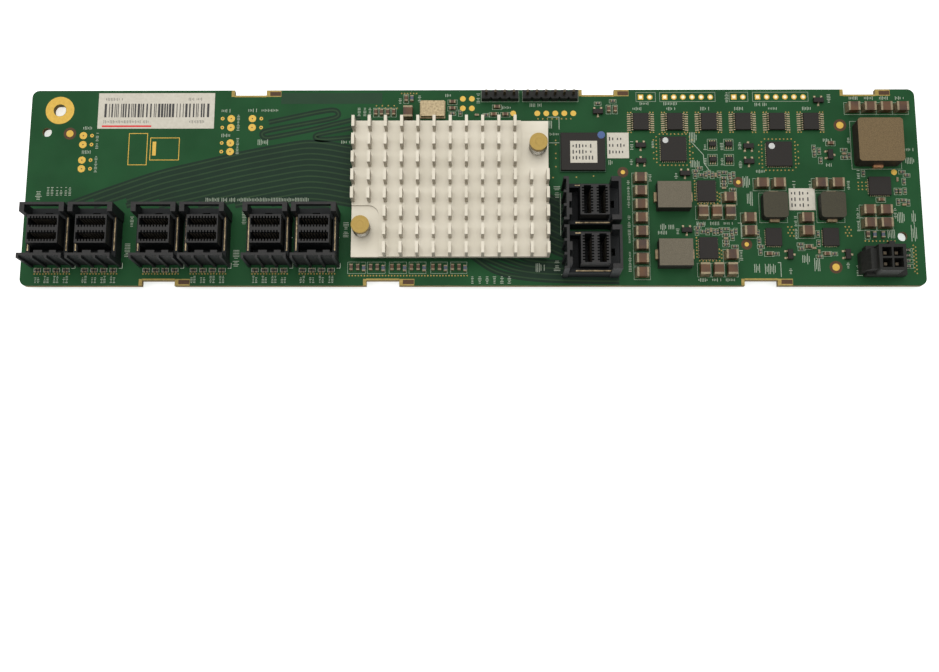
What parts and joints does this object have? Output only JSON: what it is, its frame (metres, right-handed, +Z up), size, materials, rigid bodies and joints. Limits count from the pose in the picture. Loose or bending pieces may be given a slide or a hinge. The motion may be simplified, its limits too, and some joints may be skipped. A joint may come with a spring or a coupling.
{
  "type": "slot expander board",
  "caption": "Long narrow circuit board with upright card-slot cable receptacles, a pin-fin heatsink over a switch chip, power converters and pin headers, that adds slots to a server.",
  "frame": {"origin": "middle of the board's outline, on the plane that the lowest tips under the board touch", "axes": "+X along the board from the receptacle end to the power end, +Y across the board away from the receptacle edge, +Z up out of the component side"},
  "size_m": [0.246, 0.056, 0.0152],
  "materials": {
    "laminate": "green solder mask over glass-epoxy laminate",
    "black_moulding": "moulded black thermoplastic",
    "chip_moulding": "moulded epoxy package",
    "contact_metal": "gold-plated contact alloy",
    "tin_metal": "tin-plated sheet metal",
    "heatsink_metal": "clear anodised aluminium",
    "pin_metal": "turned brass",
    "spring_metal": "spring wire",
    "lid_metal": "nickel-plated lid",
    "substrate": "chip substrate",
    "thermal_filler": "soft thermal pad",
    "capacitor_ceramic": "brown ceramic with tin ends",
    "choke_iron": "pressed metal powder",
    "choke_bronze": "pressed metal powder, tan",
    "can_metal": "gold-plated can",
    "paper": "printed paper label"
  },
  "bodies": {
    "root": {"bottom_capacitors": "capacitor_ceramic", "choke_left_core": "choke_iron", "choke_left_lugs": "tin_metal", "choke_lower_core": "choke_iron", "choke_lower_lugs": "tin_metal", "choke_right_core": "choke_iron", "choke_right_lugs": "tin_metal", "choke_upper_core": "choke_iron", "choke_upper_lugs": "tin_metal", "circuit_board": "laminate", "controller_chip": "chip_moulding", "driver_chip_leads": "tin_metal", "driver_chips": "chip_moulding", "header_four_way_pins": "contact_metal", "header_four_way_strip": "black_moulding", "header_six_way_pins": "contact_metal", "header_six_way_strip": "black_moulding", "heatsink": "heatsink_metal", "input_choke_core": "choke_bronze", "input_choke_lugs": "tin_metal", "monitor_chips": "chip_moulding", "oscillator_base": "chip_moulding", "oscillator_can": "can_metal", "paper_labels": "paper", "power_receptacle_housing": "black_moulding", "power_receptacle_pins": "contact_metal", "power_stage_chips": "chip_moulding", "push_pin_front": "pin_metal", "push_pin_rear": "pin_metal", "push_pin_spring_front": "spring_metal", "push_pin_spring_rear": "spring_metal", "receptacle_1_contacts": "contact_metal", "receptacle_1_hold_downs": "tin_metal", "receptacle_1_housing": "black_moulding", "receptacle_2_contacts": "contact_metal", "receptacle_2_hold_downs": "tin_metal", "receptacle_2_housing": "black_moulding", "receptacle_3_contacts": "contact_metal", "receptacle_3_hold_downs": "tin_metal", "receptacle_3_housing": "black_moulding", "receptacle_4_contacts": "contact_metal", "receptacle_4_hold_downs": "tin_metal", "receptacle_4_housing": "black_moulding", "receptacle_5_contacts": "contact_metal", "receptacle_5_hold_downs": "tin_metal", "receptacle_5_housing": "black_moulding", "receptacle_6_contacts": "contact_metal", "receptacle_6_hold_downs": "tin_metal", "receptacle_6_housing": "black_moulding", "receptacle_7_contacts": "contact_metal", "receptacle_7_hold_downs": "tin_metal", "receptacle_7_housing": "black_moulding", "receptacle_8_contacts": "contact_metal", "receptacle_8_hold_downs": "tin_metal", "receptacle_8_housing": "black_moulding", "small_transistors": "chip_moulding", "switch_chip_lid": "lid_metal", "switch_chip_substrate": "substrate", "thermal_pad": "thermal_filler", "top_capacitors": "capacitor_ceramic"}
  },
  "joints": []
}
